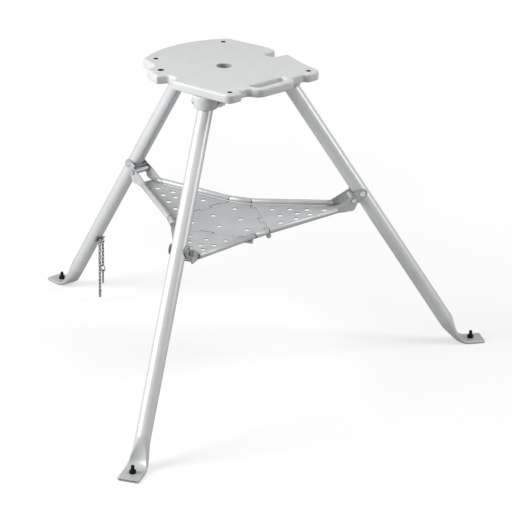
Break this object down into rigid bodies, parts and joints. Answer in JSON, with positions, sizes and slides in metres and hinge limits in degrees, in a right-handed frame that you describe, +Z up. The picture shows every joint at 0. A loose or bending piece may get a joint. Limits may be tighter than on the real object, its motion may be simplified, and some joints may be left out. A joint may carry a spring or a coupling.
{
  "type": "threading machine stand",
  "caption": "Folding tripod floor stand for a pipe threading machine, with a cast handle plate, splayed tube legs, a folding perforated tray and a chained locking pin.",
  "frame": {"origin": "middle of the stand's box, on the floor; the tripod's axis stands 0.146 m towards -Y from it", "axes": "+X across the plate's handle, +Y towards the rear leg, +Z up"},
  "size_m": [1.1126, 0.9636, 0.711],
  "materials": {
    "cast_plate": "satin grey, as cast",
    "leg_tube": "silver grey, satin",
    "tray_sheet": "silver grey, satin",
    "zinc_fastener": "zinc plated",
    "black_fastener": "black oxide"
  },
  "bodies": {
    "plate": {"top_plate": "cast_plate", "leg_bolt_rear": "zinc_fastener", "leg_bolt_front_left": "zinc_fastener", "leg_bolt_front_right": "zinc_fastener", "leg_nut_rear": "zinc_fastener", "leg_nut_front_left": "zinc_fastener", "leg_nut_front_right": "zinc_fastener"},
    "leg_rear": {"leg_rear": "leg_tube", "foot_bolt_rear": "black_fastener", "foot_nut_rear": "black_fastener", "tray_bracket_rear": "zinc_fastener", "bracket_rivet_rear": "zinc_fastener", "chain_eye": "zinc_fastener"},
    "leg_front_left": {"leg_front_left": "leg_tube", "foot_bolt_front_left": "black_fastener", "foot_nut_front_left": "black_fastener", "tray_bracket_front_left": "zinc_fastener", "bracket_rivet_front_left": "zinc_fastener"},
    "leg_front_right": {"leg_front_right": "leg_tube", "foot_bolt_front_right": "black_fastener", "foot_nut_front_right": "black_fastener", "tray_bracket_front_right": "zinc_fastener", "bracket_rivet_front_right": "zinc_fastener"},
    "tray": {"tray_centre": "tray_sheet", "hinge_pin_rear": "zinc_fastener", "hinge_pin_front_left": "zinc_fastener", "hinge_pin_front_right": "zinc_fastener"},
    "leaf_rear": {"tray_leaf_rear": "tray_sheet", "pivot_rivet_rear_a": "zinc_fastener", "pivot_rivet_rear_b": "zinc_fastener"},
    "leaf_front_left": {"tray_leaf_front_left": "tray_sheet", "pivot_rivet_front_left_a": "zinc_fastener", "pivot_rivet_front_left_b": "zinc_fastener"},
    "leaf_front_right": {"tray_leaf_front_right": "tray_sheet", "pivot_rivet_front_right_a": "zinc_fastener", "pivot_rivet_front_right_b": "zinc_fastener"},
    "chain": {"chain_link_short_01": "zinc_fastener", "chain_link_short_02": "zinc_fastener", "chain_link_short_03": "zinc_fastener", "chain_link_short_04": "zinc_fastener", "chain_link_short_05": "zinc_fastener", "chain_link_short_06": "zinc_fastener", "chain_link_short_07": "zinc_fastener", "chain_link_long_01": "zinc_fastener", "chain_link_long_02": "zinc_fastener", "chain_link_long_03": "zinc_fastener", "chain_link_long_04": "zinc_fastener", "chain_link_long_05": "zinc_fastener", "chain_link_long_06": "zinc_fastener", "chain_link_long_07": "zinc_fastener", "chain_link_long_08": "zinc_fastener", "chain_link_long_09": "zinc_fastener", "chain_link_long_10": "zinc_fastener", "chain_link_long_11": "zinc_fastener", "chain_link_long_12": "zinc_fastener", "chain_link_long_13": "zinc_fastener", "chain_link_long_14": "zinc_fastener", "pull_ring": "zinc_fastener", "locking_pin": "zinc_fastener", "chain_end_bar": "zinc_fastener"}
  },
  "joints": [
    {"name": "leg_fold_rear", "type": "hinge", "parent": "plate", "child": "leg_rear", "pos_m": [0, -0.01048, 0.672], "axis": [-1, 0, 0], "range_deg": [0, 28]},
    {"name": "leg_fold_front_left", "type": "hinge", "parent": "plate", "child": "leg_front_left", "pos_m": [-0.11778, -0.21448, 0.672], "axis": [0.5, -0.866, 0], "range_deg": [0, 28]},
    {"name": "leg_fold_front_right", "type": "hinge", "parent": "plate", "child": "leg_front_right", "pos_m": [0.11778, -0.21448, 0.672], "axis": [0.5, 0.866, 0], "range_deg": [0, 28]},
    {"name": "tray_lift", "type": "slide", "parent": "plate", "child": "tray", "axis": [0, 0, 1], "range_m": [0, 0.209]},
    {"name": "leaf_fold_rear", "type": "hinge", "parent": "tray", "child": "leaf_rear", "pos_m": [0, -0.06488, 0.3395], "axis": [-1, 0, 0], "range_deg": [0, 88]},
    {"name": "leaf_fold_front_left", "type": "hinge", "parent": "tray", "child": "leaf_front_left", "pos_m": [-0.07067, -0.18728, 0.3395], "axis": [0.5, -0.866, 0], "range_deg": [0, 88]},
    {"name": "leaf_fold_front_right", "type": "hinge", "parent": "tray", "child": "leaf_front_right", "pos_m": [0.07067, -0.18728, 0.3395], "axis": [0.5, 0.866, 0], "range_deg": [0, 88]},
    {"name": "chain_swing", "type": "hinge", "parent": "leg_rear", "child": "chain", "pos_m": [0, 0.29636, 0.15818], "axis": [-1, 0, 0], "range_deg": [-28, 60]}
  ],
  "couplings": [
    {"joint": "leg_fold_front_left", "follows": "leg_fold_rear", "ratio": 1},
    {"joint": "leg_fold_front_right", "follows": "leg_fold_rear", "ratio": 1},
    {"joint": "tray_lift", "follows": "leg_fold_rear", "m_per_rad": 0.42665},
    {"joint": "leaf_fold_rear", "follows": "leg_fold_rear", "ratio": 3.1286},
    {"joint": "leaf_fold_front_left", "follows": "leg_fold_rear", "ratio": 3.1286},
    {"joint": "leaf_fold_front_right", "follows": "leg_fold_rear", "ratio": 3.1286}
  ]
}
